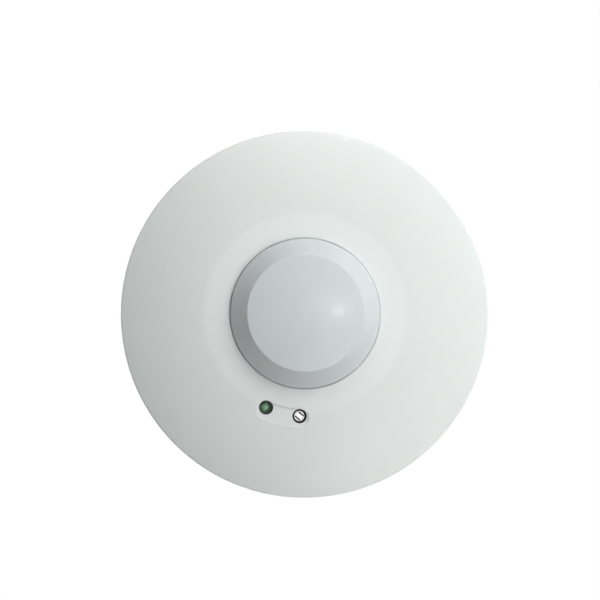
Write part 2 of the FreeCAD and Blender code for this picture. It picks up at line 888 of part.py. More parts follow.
def lamp():
    """The lamp's clear green body with a hollow for its leads, and the two leads."""
    x, y = lamp_place
    base = board_front_z - seat_gap
    tip = base - lamp_height
    body = upright(lamp_radius, (tip + lamp_radius, base), lamp_place)
    body = body.fuse(Part.makeSphere(lamp_radius, Vector(x, y, tip + lamp_radius)))
    flange = upright(lamp_flange_radius, (base - lamp_flange_height, base), lamp_place)
    body = body.fuse(flange).removeSplitter()
    lead_z = (base - lead_inside_lamp, board_back_z + pin_stub)
    leads = square_pins(lamp_lead_places, lead_width, lead_z)
    cup_z = (lead_z[0] - lamp_cup_rise, lead_z[0])
    leads[0] = leads[0].fuse(upright(lamp_cup_radius, cup_z, lamp_lead_places[0])).removeSplitter()
    return body.cut(leads), Part.makeCompound(leads)


def trimmer():
    """The adjuster's fixed base and the metal rotor that turns in it, with its driver slots."""
    base_z = (board_front_z - seat_gap - trimmer_height, board_front_z - seat_gap)
    base = centred_box(adjuster_place, (trimmer_width, trimmer_width), base_z)
    base = base.makeFillet(part_rounding, edges_along(base, Z))
    shaft_end = base_z[1] - rotor_shaft_floor
    bore_z = (base_z[0] - overrun, shaft_end + running_gap)
    base = base.cut(upright(rotor_shaft_radius + running_gap, bore_z, adjuster_place))
    legs = square_pins(trimmer_pin_places, lead_width, (base_z[1], board_back_z + pin_stub))
    face = board_front_z - rotor_rise
    head_z = (face, base_z[0] - rotor_stand)
    head = upright(rotor_radius, head_z, adjuster_place)
    head = head.makeFillet(rotor_rounding, rings_at(head, rotor_radius, face))
    rotor = head.fuse(upright(rotor_shaft_radius, (head_z[1] - tolerance, shaft_end), adjuster_place))
    x, y = adjuster_place
    sunk = [centred_box(adjuster_place, rotor_bridge_size, (face - overrun, face + rotor_bridge_drop))]
    for side in (-1, 1):
        place = (x, y + side * (rotor_bridge_size[1] + rotor_cut_width) / 2)
        size = (rotor_bridge_size[0], rotor_cut_width)
        sunk.append(centred_box(place, size, (face - overrun, face + rotor_cut_depth)))
    for shape in sunk:
        shape.rotate(Vector(x, y, 0), Z, rotor_angle)
    return Part.makeCompound([base] + legs), rotor.cut(sunk).removeSplitter()


def antenna():
    """The antenna board under the dome, its copper patches, shield can, header and posts."""
    back = -antenna_board_depth
    z = (back - antenna_board_thickness, back)
    board = upright(antenna_board_radius, z).cut(pin_holes(antenna_pin_places, pin_width, z))
    patches = []
    for side in (-1, 1):
        for end in (-1, 1):
            place = (side * patch_spacing[0] / 2, end * patch_spacing[1] / 2)
            patches.append(centred_box(place, patch_size, (z[0] - patch_thickness, z[0])))
        feed = centred_box(
            (side * patch_spacing[0] / 2, 0),
            (feed_width, patch_spacing[1] - patch_size[1]),
            (z[0] - patch_thickness, z[0]),
        )
        patches[-2] = patches[-2].fuse([feed, patches[-1]]).removeSplitter()
        patches.pop()

    shield = centred_box(shield_place, shield_size, (back, back + shield_size[2]))
    shield = shield.makeFillet(2 * shield_wall, edges_along(shield, Z))
    inside = (shield_size[0] - 2 * shield_wall, shield_size[1] - 2 * shield_wall)
    inside_z = (back - overrun, back + shield_size[2] - shield_wall)
    shield = shield.cut(centred_box(shield_place, inside, inside_z))

    strip_z = (board_front_z - pin_pitch, board_front_z)
    strip_size = (antenna_header_pins * pin_pitch, pin_pitch)
    strip = centred_box(antenna_header_place, strip_size, strip_z)
    pin_z = (z[0] - pin_pitch / 2, board_back_z + pin_pitch / 2)
    header_pins = square_pins(antenna_pin_places, pin_width, pin_z)
    strip = strip.cut(header_pins)
    posts = [upright(post_radius, (back, board_front_z), place) for place in post_places]
    return {
        "antenna_board": board,
        "antenna_patches": Part.makeCompound(patches),
        "shield_can": shield,
        "antenna_header_strip": strip,
        "antenna_header_pins": Part.makeCompound(header_pins),
        "antenna_posts": Part.makeCompound(posts),
    }


def chip(place, size, z):
    """A moulded chip with a row of bent leads on each long side."""
    body_low = z + seat_gap
    body = centred_box(place, size[:2], (body_low, body_low + size[2]))
    count = int((size[0] - chip_pitch / 2) / chip_pitch)
    lead_low = body_low + chip_lead_rise
    lead_high = lead_low + chip_lead_thickness
    half = chip_lead_width / 2
    leads = []
    for x, _ in row_places(place, count, chip_pitch):
        for side in (-1, 1):
            edge = place[1] + side * size[1] / 2
            far = edge + side * chip_lead_reach
            upper = box((x - half, x + half), ordered(edge, far), (lead_low, lead_high))
            knee = ordered(far, far - side * chip_lead_thickness)
            down = box((x - half, x + half), knee, (z, lead_high))
            foot = ordered(far, far - side * chip_lead_foot)
            flat = box((x - half, x + half), foot, (z, z + chip_lead_thickness))
            leads.append(upper.fuse([down, flat]).removeSplitter())
    return [body] + leads


def passives():
    """A row of small chip resistors."""
    z = (board_back_z, board_back_z + passive_size[2])
    places = row_places((0.0, passive_row), passive_count, passive_spacing)
    return Part.makeCompound([centred_box(place, passive_size[:2], z) for place in places])


def standing_pins(places, seat_z):
    """Wires from the underside of a board part through the board above it."""
    return square_pins(places, lead_width, (seat_z, power_back_z + pin_stub))


def hanging(place, size):
    """A boxed part that hangs below the power board."""
    top = power_board_height - seat_gap
    body = centred_box(place, size[:2], (top - size[2], top))
    edges = edges_along(body, Z) + edges_at_bottom(body, top - size[2])
    return body.makeFillet(cased_part_rounding, edges)


def edges_at_bottom(shape, height):
    return [edge for edge in shape.Edges if edge.BoundBox.ZMax < height + tolerance]


def transformer():
    """The transformer's core, and its wound bobbin on a foot with four pins."""
    top = power_board_height - seat_gap
    foot_low = top - core_stand
    core = centred_box(core_place, core_size[:2], (top - core_size[2], foot_low))
    middle = (foot_low + top - core_size[2]) / 2
    bobbin_z = (middle - bobbin_size[2] / 2, middle + bobbin_size[2] / 2)
    bobbin = centred_box(core_place, bobbin_size[:2], bobbin_z)
    bobbin = bobbin.makeFillet(bobbin_rounding, edges_along(bobbin, Y))
    foot_size = (bobbin_size[0] + 2 * bobbin_foot_reach, bobbin_size[1])
    neck_size = (bobbin_size[0] - 2 * bobbin_neck_inset, bobbin_size[1])
    foot = centred_box(core_place, foot_size, (foot_low, top))
    neck = centred_box(core_place, neck_size, (bobbin_z[1] - bobbin_rounding, top))
    bobbin = joined(bobbin, [foot, neck])
    return core.cut(bobbin), [bobbin] + standing_pins(transformer_pin_places, top)


def canister():
    """The smoothing capacitor: a round can with a rounded end and a groove near its base."""
    top = power_board_height - seat_gap
    bottom = top - canister_height
    can = upright(canister_radius, (bottom, top), canister_place)
    can = can.makeFillet(canister_rounding, rings_at(can, canister_radius, bottom))
    groove_z = (top - canister_groove_end, top - canister_groove_start)
    groove_floor = canister_radius - canister_groove_depth
    can = can.cut(tube(canister_radius + overrun, groove_floor, groove_z, canister_place))
    return [can] + standing_pins(canister_pin_places, top)


def disc():
    """The surge suppressor: a bevelled disc on two legs."""
    height = power_board_height - seat_gap - disc_stand - disc_radius
    start = Vector(disc_place[0] - disc_thickness / 2, disc_place[1], height)
    body = Part.makeCylinder(disc_radius, disc_thickness, start, X)
    rims = [edge for edge in body.Edges if isinstance(edge.Curve, Part.Circle)]
    body = body.makeChamfer(disc_bevel, rims)
    legs = standing_pins(disc_pin_places, height)
    return [body] + [leg.cut(body) for leg in legs]


def fuse():
    """The fuse's glass tube and its two metal caps, each with a leg."""
    height = power_board_height - seat_gap - fuse_stand - fuse_radius
    ends = (fuse_place[0] - fuse_length / 2, fuse_place[0] + fuse_length / 2)
    start = Vector(ends[0], fuse_place[1], height)
    glass = Part.makeCylinder(fuse_radius - fuse_cap_wall, fuse_length, start, X)
    caps = []
    for cap_start, place in zip((ends[0], ends[1] - fuse_cap_length), fuse_pin_places):
        start = Vector(cap_start, fuse_place[1], height)
        cap = Part.makeCylinder(fuse_radius, fuse_cap_length, start, X)
        leg = standing_pins([place], height)
        caps.append(cap.fuse(leg).removeSplitter())
    return glass.cut(caps), caps


def power_parts():
    """The parts that hang below the power board."""
    top = power_board_height - seat_gap
    relay = [hanging(relay_place, relay_size)] + standing_pins(relay_pin_places, top)
    film = [hanging(film_place, film_size)] + standing_pins(film_pin_places, top)
    core, bobbin = transformer()
    glass, caps = fuse()
    return {
        "relay": Part.makeCompound(relay),
        "film_capacitor": Part.makeCompound(film),
        "transformer_core": core,
        "transformer_bobbin": Part.makeCompound(bobbin),
        "smoothing_capacitor": Part.makeCompound(canister()),
        "surge_suppressor": Part.makeCompound(disc()),
        "fuse_tube": glass,
        "fuse_caps": Part.makeCompound(caps),
    }


def board_link():
    """The pin header that joins the two boards, with a plastic strip at each of them."""
    pins = square_pins(link_pin_places, pin_width, (board_front_z - pin_stub, power_back_z + pin_stub))
    size = (link_pins * pin_pitch, pin_pitch)
    lower = centred_box(link_place, size, (board_back_z, board_back_z + pin_pitch))
    upper = centred_box(link_place, size, (power_board_height - pin_pitch, power_board_height))
    return Part.makeCompound([lower.cut(pins), upper.cut(pins)]), Part.makeCompound(pins)


def terminals():
    """The terminal block with its metal cages and screws, four ways side by side."""
    front = block_place + block_depth / 2
    back = block_place - block_depth / 2
    body = box((-block_width / 2, block_width / 2), (back, front), (block_bottom_z, block_top_z))
    body = body.makeFillet(part_rounding, edges_along(body, X, block_bottom_z))
    cage_y = front - side_gap - cage_length / 2
    cage_z = (block_bottom_z + cage_floor, block_bottom_z + cage_floor + cage_height)
    wire_z = cage_z[0] + wire_hole_radius + wire_hole_rise
    head_z = (cage_z[1] + terminal_head_stand, cage_z[1] + terminal_head_stand + terminal_head_height)
    tail_z = (power_board_height - seat_gap, cage_z[0])
    cuts = []
    cages = []
    screws = []
    for tail_place in block_tail_places:
        place = (tail_place[0], cage_y)
        pocket_half = cage_width / 2 + cage_gap
        pocket = box(
            (place[0] - pocket_half, place[0] + pocket_half),
            (cage_y - cage_length / 2 - cage_gap, front + overrun),
            (cage_z[0] - cage_gap, cage_z[1] + cage_gap),
        )
        tail_hole = tail_width + 2 * cage_gap
        tail_slot = centred_box(tail_place, (tail_hole, tail_hole), (block_bottom_z - overrun, cage_z[0]))
        cuts += [pocket, tail_slot, upright(well_radius, (cage_z[1], block_top_z + overrun), place)]

        cage = centred_box(place, (cage_width, cage_length), cage_z)
        wire_hole = lying(wire_hole_radius, place[0], (back, front), wire_z)
        thread = upright(terminal_screw_radius + running_gap, (wire_z, cage_z[1] + overrun), place)
        tail = centred_box(tail_place, (tail_width, tail_width), tail_z)
        cages.append(cage.cut([wire_hole, thread]).fuse(tail).removeSplitter())

        head = upright(terminal_head_radius, head_z, place)
        shank = upright(terminal_screw_radius, (wire_z + wire_hole_radius, head_z[0]), place)
        slot_size = (3 * terminal_head_radius, driver_slot_width)
        driver_slot = centred_box(place, slot_size, (head_z[1] - driver_slot_depth, head_z[1] + overrun))
        screws.append(head.fuse(shank).cut(driver_slot).removeSplitter())
    return {
        "terminal_block": body.cut(cuts).removeSplitter(),
        "terminal_cages": Part.makeCompound(cages),
        "terminal_screws": Part.makeCompound(screws),
    }


def cable_clamp():
    """The arched bar that holds the cable down, over the two posts."""
    seat = housing_height + clamp_post_height + seat_gap
    half = clamp_post_spacing / 2 + clamp_post_radius
    y = (clamp_place - clamp_width / 2, clamp_place + clamp_width / 2)
    bar = box((-half, half), y, (seat, seat + clamp_thickness))
    bar = bar.makeFillet(clamp_end_rounding, edges_along(bar, Z))
    arch_outer = lying(clamp_arch_radius + clamp_thickness, 0, y, entry_height)
    arch_outer = arch_outer.common(box((-half, half), y, (seat, cover_top_z)))
    bar = bar.fuse(arch_outer)
    cuts = [lying(clamp_arch_radius, 0, (y[0] - overrun, y[1] + overrun), entry_height)]
    for place in clamp_post_places:
        bore_z = (seat - overrun, seat + clamp_thickness + overrun)
        cuts.append(upright(screw_radius + pin_gap, bore_z, place))
    return bar.cut(cuts).removeSplitter()


def arm_in_place(shape):
    """Moves the arm from its own axes, where it lies along +X, to its rest pose on the hinge."""
    placed = shape.copy()
    placed.rotate(Vector(), Vector(0, -1, 0), arm_rest_angle)
    placed.translate(Vector(hinge_reach, 0, hinge_height))
    return placed


def clip_arm():
    """A clip's moulded arm: two cheeks on the pin, a grooved blade, a rounded foot and two heels."""
    low = -arm_drop
    high = arm_thickness - arm_drop
    blade = box((0, arm_length), (-arm_half_width, arm_half_width), (low, high))
    blade = blade.makeFillet(arm_end_rounding, edges_beyond(blade, arm_length - tolerance))
    foot_x = arm_length - foot_radius
    foot = lying(foot_radius, foot_x, (-foot_half_width, foot_half_width), low + foot_radius)
    pieces = [foot]
    cheek_spans = [ordered(side * cheek_inner, side * arm_half_width) for side in (-1, 1)]
    stiffener_start = cheek_radius - arm_stiffener_inset
    for y in cheek_spans:
        pieces.append(lying(cheek_radius, 0, y, 0))
        pieces.append(box((0, cheek_radius), y, (low, 0)))
        corners = [
            Vector(stiffener_start, y[0], low),
            Vector(arm_stiffener_length, y[0], low),
            Vector(arm_stiffener_length, y[0], high),
            Vector(stiffener_start, y[0], cheek_radius / 2),
        ]
        stiffener = Part.Face(Part.makePolygon(corners + corners[:1]))
        pieces.append(stiffener.extrude(Vector(0, y[1] - y[0], 0)))
    arm = blade.fuse(pieces)
    coil_room = spring_mean_radius + spring_wire / 2 + side_gap
    cuts = [
        lying(hinge_pin_radius + running_gap, 0, (-arm_half_width - overrun, arm_half_width + overrun), 0),
        lying(coil_room, 0, (-cheek_inner, cheek_inner), 0),
        box(
            (-cheek_radius - overrun, arm_open_front),
            (-cheek_inner, cheek_inner),
            (low - overrun, cheek_radius),
        ),
    ]
    groove_half = spring_wire / 2 + arm_groove_gap
    groove_y = spring_arm_leg_y()
    groove_low = high - arm_groove_depth
    groove = (groove_y - groove_half, groove_y + groove_half)
    cuts.append(box((0, arm_stiffener_length), groove, (groove_low, overrun)))
    arm = arm_in_place(arm.cut(cuts))
    heel_x = (flat_distance + side_gap, hinge_reach)
    heel_z = (hinge_height - heel_drop, hinge_height)
    heels = []
    for y in cheek_spans:
        pin_y = (y[0] - overrun, y[1] + overrun)
        pin_room = lying(hinge_pin_radius + running_gap, hinge_reach, pin_y, hinge_height)
        heels.append(box(heel_x, y, heel_z).cut(pin_room))
    return arm.fuse(heels).removeSplitter()


def edges_beyond(shape, x):
    """Upright edges at the far end of the blade."""
    return [edge for edge in edges_along(shape, Z) if edge.BoundBox.XMin > x]


def spring_turns():
    """The coil's turns: whole ones, and the part turn from the wall's side to the arm's side."""
    part_turn = (arm_rest_angle + 90) / 360
    return spring_full_turns + part_turn


def spring_arm_leg_y():
    return spring_pitch * spring_turns() / 2


def coil_point(turn):
    """A point on the coil's centre line. It starts on the wall's side and winds towards +Y."""
    angle = math.pi + 2 * math.pi * turn
    x = hinge_reach + spring_mean_radius * math.cos(angle)
    z = hinge_height + spring_mean_radius * math.sin(angle)
    return Vector(x, spring_pitch * turn - spring_arm_leg_y(), z)


def coil_direction(turn, climb=spring_pitch):
    """Which way the wire runs at a point of the coil. With no climb it is square to the pin."""
    angle = math.pi + 2 * math.pi * turn
    around = 2 * math.pi * spring_mean_radius
    return Vector(-around * math.sin(angle), climb, around * math.cos(angle)).normalize()


def biarc(start, start_way, end, end_way):
    """Two arcs that leave one point and reach another along the given directions."""
    chord = end - start
    ways_sum = start_way + end_way
    spread = 2 * (1 - start_way.dot(end_way))
    along = chord.dot(ways_sum)
    reach = (math.sqrt(along**2 + spread * chord.dot(chord)) - along) / spread
    first_corner = start + start_way * reach
    last_corner = end - end_way * reach
    joint = (first_corner + last_corner) * 0.5
    return [corner_arc(start, first_corner, joint), corner_arc(joint, last_corner, end)]


def corner_arc(start, corner, end):
    """The arc that is tangent to both sides of an even corner."""
    middle = (start + end) * 0.5
    half = (end - start).Length / 2
    side = (corner - start).Length
    half_angle = math.acos(min(1.0, half / side))
    sagitta = half * math.tan(half_angle / 2)
    top = middle + (corner - middle).normalize() * sagitta
    return Part.Arc(start, top, end).toShape()


def clip_spring():
    """The torsion spring: a leg along the housing, a coil on the pin, and a leg along the arm."""
    turns = spring_turns()
    steps = round(turns * 2)
    points = [coil_point(index * turns / steps) for index in range(steps + 1)]
    ways = [coil_direction(index * turns / steps) for index in range(steps + 1)]
    ways[0] = coil_direction(0, 0)
    ways[-1] = coil_direction(turns, 0)
    top = points[0] - ways[0] * spring_wall_leg
    tip = points[-1] + ways[-1] * spring_arm_leg
    edges = [Part.makeLine(top, points[0])]
    for index in range(steps):
        edges += biarc(points[index], ways[index], points[index + 1], ways[index + 1])
    edges.append(Part.makeLine(points[-1], tip))
    section = Part.Wire([Part.makeCircle(spring_wire / 2, top, ways[0])])
    solid = Part.Wire(edges).makePipeShell([section], True, False)
    report_coil(turns)
    return solid if solid.Volume > 0 else solid.reversed()


def report_coil(turns):
    """Prints the least gap between one turn of the coil and the next, measured on points."""
    points_per_turn = 48
    count = int(turns * points_per_turn)
    points = [coil_point(index / points_per_turn) for index in range(count)]
    least = min(
        (points[i] - points[j]).Length
        for i in range(count)
        for j in range(i + points_per_turn // 2, count)
    )
    print(f"clip spring: {turns:.2f} turns, least gap to itself {least - spring_wire:.2f} mm")


def clip_pin():
    """A hinge pin with rounded ends, through both ears and both cheeks."""
    span = (-hinge_pin_length / 2, hinge_pin_length / 2)
    pin = lying(hinge_pin_radius, hinge_reach, span, hinge_height)
    ends = [edge for edge in pin.Edges if isinstance(edge.Curve, Part.Circle)]
    return pin.makeChamfer(hinge_pin_bevel, ends)


def save(name, shape):
    shape.exportStep(f"parts/{name}.step")
    print(f"{name}: {len(shape.Solids)} solids, {shape.Volume:.1f} mm3, valid {shape.isValid()}")


def build():
    save("fascia", fascia())
    save("radome", radome())
    save("housing", housing())
    save("terminal_cover", cover())
    save("main_board", main_board())
    save("power_board", power_board())

    lens, leads = lamp()
    save("lamp_lens", lens)
    save("lamp_leads", leads)
    base, rotor = trimmer()
    save("adjuster_base", base)
    save("adjuster_rotor", rotor)
    for name, shape in antenna().items():
        save(name, shape)
    for name, shape in power_parts().items():
        save(name, shape)
    for name, shape in terminals().items():
        save(name, shape)
    save("microcontroller", Part.makeCompound(chip(chip_place, chip_body, board_back_z)))
    save("signal_amplifier", Part.makeCompound(chip(small_chip_place, small_chip_body, board_back_z)))
    save("chip_resistors", passives())
    strips, pins = board_link()
    save("link_header_strips", strips)
    save("link_header_pins", pins)

    head = (screw_radius, screw_head_radius, screw_head_height)
    main_screws = [
        screw(polar(main_boss_circle_radius, angle), board_front_z, 1, *head, screw_length)
        for angle in main_boss_angles
    ]
    save("main_board_screws", Part.makeCompound(main_screws))
    power_screws = [
        screw(place, power_board_height, 1, *head, screw_length) for place in power_boss_places
    ]
    save("power_board_screws", Part.makeCompound(power_screws))
    cover_head = (cover_screw_radius, cover_head_radius, cover_head_height)
    cover_seat = cover_top_z - cover_well_depth
    cover_screws = [
        screw(place, cover_seat, -1, *cover_head, cover_screw_length) for place in cover_boss_places
    ]
    save("cover_screws", Part.makeCompound(cover_screws))
    save("cable_clamp", cable_clamp())
    clamp_seat = housing_height + clamp_post_height + seat_gap + clamp_thickness
    clamp_length = screw_length + clamp_thickness
    clamp_screws = [screw(place, clamp_seat, -1, *head, clamp_length) for place in clamp_post_places]
    save("clamp_screws", Part.makeCompound(clamp_screws))

    arm = clip_arm()
    spring = clip_spring()
    pin = clip_pin()
    save("clip_arm_left", arm)
    save("clip_arm_right", turned_copy(arm))
    save("clip_spring_left", spring)
    save("clip_spring_right", turned_copy(spring))
    save("clip_pins", Part.makeCompound([pin, turned_copy(pin)]))


build()
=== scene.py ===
import json
import math

import bpy
from mathutils import Matrix, Vector


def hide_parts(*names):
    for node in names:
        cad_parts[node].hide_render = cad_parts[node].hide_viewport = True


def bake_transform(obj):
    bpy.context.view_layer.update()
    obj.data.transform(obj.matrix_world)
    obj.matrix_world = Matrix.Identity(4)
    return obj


# The ceiling's face is the plane z = 0, with the room below it and the body above it.
# In the photo +X is to the left and +Y is up. All lengths are metres.
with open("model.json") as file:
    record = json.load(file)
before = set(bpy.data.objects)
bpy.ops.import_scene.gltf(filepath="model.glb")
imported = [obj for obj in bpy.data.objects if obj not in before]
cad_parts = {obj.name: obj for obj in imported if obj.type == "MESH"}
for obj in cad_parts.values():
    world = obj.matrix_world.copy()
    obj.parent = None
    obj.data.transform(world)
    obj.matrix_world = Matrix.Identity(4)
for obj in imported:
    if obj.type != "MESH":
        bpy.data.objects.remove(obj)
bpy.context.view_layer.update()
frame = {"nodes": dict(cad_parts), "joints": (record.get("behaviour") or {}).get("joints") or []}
joints = {joint["name"]: joint for joint in frame["joints"]}


# Camera: in the room, a little to one side of the face's axis, as the photo was taken
camera_place = (0.01966, -0.01495, -0.5802)
camera_target = (0.00128, 0.00407, -0.001)


def aim(obj, place, target, up):
    """Puts an object at a place, looking at a target."""
    back = (Vector(place) - Vector(target)).normalized()
    right = Vector(up).cross(back).normalized()
    axes = Matrix((right, back.cross(right), back)).transposed()
    obj.matrix_world = Matrix.Translation(place) @ axes.to_4x4()


camera_data = bpy.data.cameras.new("camera")
camera_data.lens = 120.0
camera_data.sensor_width = 36.0
camera_data.clip_start = 0.01
camera_data.clip_end = 20.0
camera = bpy.data.objects.new("camera", camera_data)
bpy.context.collection.objects.link(camera)
aim(camera, camera_place, camera_target, (0, 1, 0))
bpy.context.scene.camera = camera
bpy.context.scene.view_settings.view_transform = "Standard"


# Light: round lamps in the room for the face, and three beyond the ceiling for the body
room_lamps = (
    # name, distance, turn, lean, width, power
    ("key", 0.90, 45, 60, 0.54, 3.06),
    ("upper", 0.22, 90, 60, 0.13, 0.164),
    ("right", 0.22, 0, 60, 0.13, 0.088),
    ("lower", 0.40, 300, 40, 0.24, 0.575),
    ("front", 0.90, 10, 14, 0.06, 0.55),
)
body_lamp_width = 0.5
body_lamps = (
    # name, place, power
    ("side_low", (-0.053, -0.604, 0.35), 2.3),
    ("side_left", (0.604, 0.053, 0.35), 2.3),
    ("behind", (-0.36, 0.42, 0.43), 1.9),
)
# No lamp shines along this direction
lamp_up = (0, 1, 0.01)


def area_light(name, place, width, power):
    """A round lamp that shines on the middle of the face."""
    data = bpy.data.lights.new(name, "AREA")
    data.shape = "DISK"
    data.size = width
    data.energy = power
    lamp = bpy.data.objects.new(name, data)
    bpy.context.collection.objects.link(lamp)
    aim(lamp, place, (0, 0, 0), lamp_up)


def from_face(distance, turn, lean):
    """A place in the room, at a distance from the middle of the face.

    It leans away from the face's axis, towards a turn from the photo's right (0) up to
    its top (90). Both angles are degrees.
    """
    turn = math.radians(turn)
    lean = math.radians(lean)
    across = math.sin(lean) * distance
    return (-across * math.cos(turn), across * math.sin(turn), -math.cos(lean) * distance)


for name, distance, turn, lean, width, power in room_lamps:
    area_light(name, from_face(distance, turn, lean), width, power)
for name, place, power in body_lamps:
    area_light(name, place, body_lamp_width, power)


# World: faint light from all sides, and plain white to the rays that look at it
ambient_colour = (0.97, 1.0, 0.99)
ambient_strength = 0.035


def rays(tree, *kinds):
    """1 for rays of the named kinds and 0 for the rest."""
    paths = tree.nodes.new("ShaderNodeLightPath")
    share = paths.outputs[kinds[0]]
    for kind in kinds[1:]:
        either = tree.nodes.new("ShaderNodeMath")
        either.operation = "MAXIMUM"
        tree.links.new(share, either.inputs[0])
        tree.links.new(paths.outputs[kind], either.inputs[1])
        share = either.outputs[0]
    return share


def background(tree, colour, strength):
    made = tree.nodes.new("ShaderNodeBackground")
    made.inputs["Color"].default_value = (*colour, 1.0)
    made.inputs["Strength"].default_value = strength
    return made.outputs[0]


world = bpy.data.worlds.new("studio")
world.use_nodes = True
bpy.context.scene.world = world
sky = world.node_tree
sky.nodes.clear()
sky_mix = sky.nodes.new("ShaderNodeMixShader")
sky_output = sky.nodes.new("ShaderNodeOutputWorld")
looking = rays(sky, "Is Camera Ray", "Is Glossy Ray", "Is Transmission Ray")
sky.links.new(looking, sky_mix.inputs[0])
sky.links.new(background(sky, ambient_colour, ambient_strength), sky_mix.inputs[1])
sky.links.new(background(sky, (1.0, 1.0, 1.0), 1.0), sky_mix.inputs[2])
sky.links.new(sky_mix.outputs[0], sky_output.inputs[0])


# Materials
class Surface:
    """A node material round one Principled shader, with helpers for its textures."""

    def __init__(self, name):
        self.material = bpy.data.materials.new(name)
        self.material.use_nodes = True
        self.tree = self.material.node_tree
        self.shader = self.tree.nodes["Principled BSDF"]
        self.place = self.tree.nodes.new("ShaderNodeTexCoord").outputs["Object"]

    def node(self, kind, **values):
        """A new node, with some of its inputs or settings given."""
        made = self.tree.nodes.new("ShaderNode" + kind)
        for name, value in values.items():
            if name in made.inputs:
                made.inputs[name].default_value = value
            else:
                setattr(made, name, value)
        return made

    def link(self, source, target):
        self.tree.links.new(source, target)

    def set(self, **values):
        """Sets numbers and colours on the shader's own sockets."""
        for name, value in values.items():
            self.shader.inputs[name.replace("_", " ")].default_value = value

    def colour(self, source):
        self.link(source, self.shader.inputs["Base Color"])

    def rough(self, source):
        self.link(source, self.shader.inputs["Roughness"])

    def normal(self, source):
        self.link(source, self.shader.inputs["Normal"])

    def mapped(self, scale, shift=(0.0, 0.0, 0.0)):
        """A point's coordinates, scaled and then shifted."""
        mapping = self.node("Mapping", Scale=scale, Location=shift)
        self.link(self.place, mapping.inputs["Vector"])
        return mapping.outputs["Vector"]

    def noise(self, scale, detail=3.0, roughness=0.5, place=None):
        made = self.node("TexNoise", Scale=scale, Detail=detail, Roughness=roughness)
        self.link(place or self.place, made.inputs["Vector"])
        return made.outputs["Fac"]

    def spread(self, value, low, high, to_low=0.0, to_high=1.0):
        """A value between low and high, carried to between two others."""
        made = self.node("MapRange")
        for index, number in enumerate((low, high, to_low, to_high)):
            made.inputs[index + 1].default_value = number
        self.link(value, made.inputs[0])
        return made.outputs[0]

    def times(self, first, second):
        """A value times a number or another value."""
        made = self.node("Math", operation="MULTIPLY")
        self.link(first, made.inputs[0])
        if isinstance(second, float):
            made.inputs[1].default_value = second
        else:
            self.link(second, made.inputs[1])
        return made.outputs[0]

    def mix(self, share, first, second):
        """A mix of two colours, each a plain colour or another node's."""
        made = self.node("Mix", data_type="RGBA")
        self.link(share, made.inputs["Factor"])
        for socket, colour in ((6, first), (7, second)):
            if isinstance(colour, tuple):
                made.inputs[socket].default_value = (*colour, 1.0)
            else:
                self.link(colour, made.inputs[socket])
        return made.outputs[2]

    def bump(self, height, distance):
        made = self.node("Bump", Distance=distance)
        self.link(height, made.inputs["Height"])
        return made.outputs["Normal"]

    def edges(self, low=0.51, high=0.56):
        """How far a point lies on an outer edge."""
        return self.spread(self.node("NewGeometry").outputs["Pointiness"], low, high)

    def height(self, low, high):
        """How far up a point lies between two heights."""
        axes = self.node("SeparateXYZ")
        self.link(self.place, axes.inputs[0])
        return self.spread(axes.outputs["Z"], low, high)

    def reach(self, near, far, axis=(0.0, 0.0)):
        """How far out from an upright axis a point lies, between two radii."""
        flat = self.mapped((1.0, 1.0, 0.0), (-axis[0], -axis[1], 0.0))
        length = self.node("VectorMath", operation="LENGTH")
        self.link(flat, length.inputs[0])
        return self.spread(length.outputs["Value"], near, far)

    def clouds(self):
        """Soft patches, as a moulding has where its plastic flowed."""
        return self.spread(self.noise(70.0, 4.0, 0.55), 0.3, 0.7)

    def handling(self):
        """How much a point has been handled, in patches."""
        return self.spread(self.noise(500.0), 0.35, 0.7, 0.2, 1.0)


plastic_ior = 1.46


def shade(colour, share):
    return tuple(min(1.0, channel * share) for channel in colour)


def moulded(name, colour, roughness, grain, grain_scale, patch, worn):
    """Moulded plastic: a fine sparked grain, faint clouds, and edges rubbed brighter.

    The grain has a depth and a scale, patch is how far the clouds darken the colour, and
    worn is how much brighter the edges are.
    """
    made = Surface(name)
    speck = made.noise(grain_scale, 2.0, 0.6)
    body = made.mix(made.clouds(), shade(colour, 1 - patch), shade(colour, 1 + patch * 0.4))
    rubbed = made.times(made.edges(), made.handling())
    made.colour(made.mix(rubbed, body, shade(colour, worn)))
    made.rough(made.spread(speck, 0.3, 0.7, roughness - 0.04, roughness + 0.05))
    made.normal(made.bump(speck, grain))
    made.set(IOR=plastic_ior)
    return made


def metal(name, colour, roughness, brush):
    """Drawn or plated metal: fine lines, dulled patches and brighter edges.

    The brush is how close the lines lie along each axis.
    """
    made = Surface(name)
    lines = made.noise(1.0, 3.0, 0.6, made.mapped(brush))
    patches = made.noise(320.0, 4.0, 0.6)
    body = made.mix(made.spread(patches, 0.35, 0.75), colour, shade(colour, 0.88))
    made.colour(made.mix(made.edges(0.52, 0.6), body, shade(colour, 1.15)))
    made.rough(made.spread(patches, 0.3, 0.8, roughness - 0.06, roughness + 0.12))
    made.normal(made.bump(lines, 0.000004))
    made.set(Metallic=1.0)
    return made


def face_plastic(name):
    """The face: finely sparked outside the crease, smoother on the land inside, and a little
    lighter in colour there.
    """
    made = Surface(name)
    outside = made.reach(0.0280, 0.0300)
    rim = made.reach(0.0500, 0.0515)
    clouds = made.clouds()
    sparked = made.mix(clouds, (0.775, 0.812, 0.797), (0.788, 0.825, 0.810))
    # The land inside the crease is a little lighter in colour than the face outside it
    land_lighter = made.mix(clouds, (0.815, 0.850, 0.838), (0.825, 0.860, 0.848))
    body = made.mix(outside, land_lighter, sparked)
    rubbed = made.times(made.edges(), made.times(rim, made.handling()))
    made.colour(made.mix(rubbed, body, (0.86, 0.89, 0.88)))
    made.rough(made.spread(outside, 0.0, 1.0, 0.30, 0.42))
    made.normal(made.bump(made.noise(2600.0, 2.0, 0.6), 0.000012))
    made.set(IOR=plastic_ior)
    return made


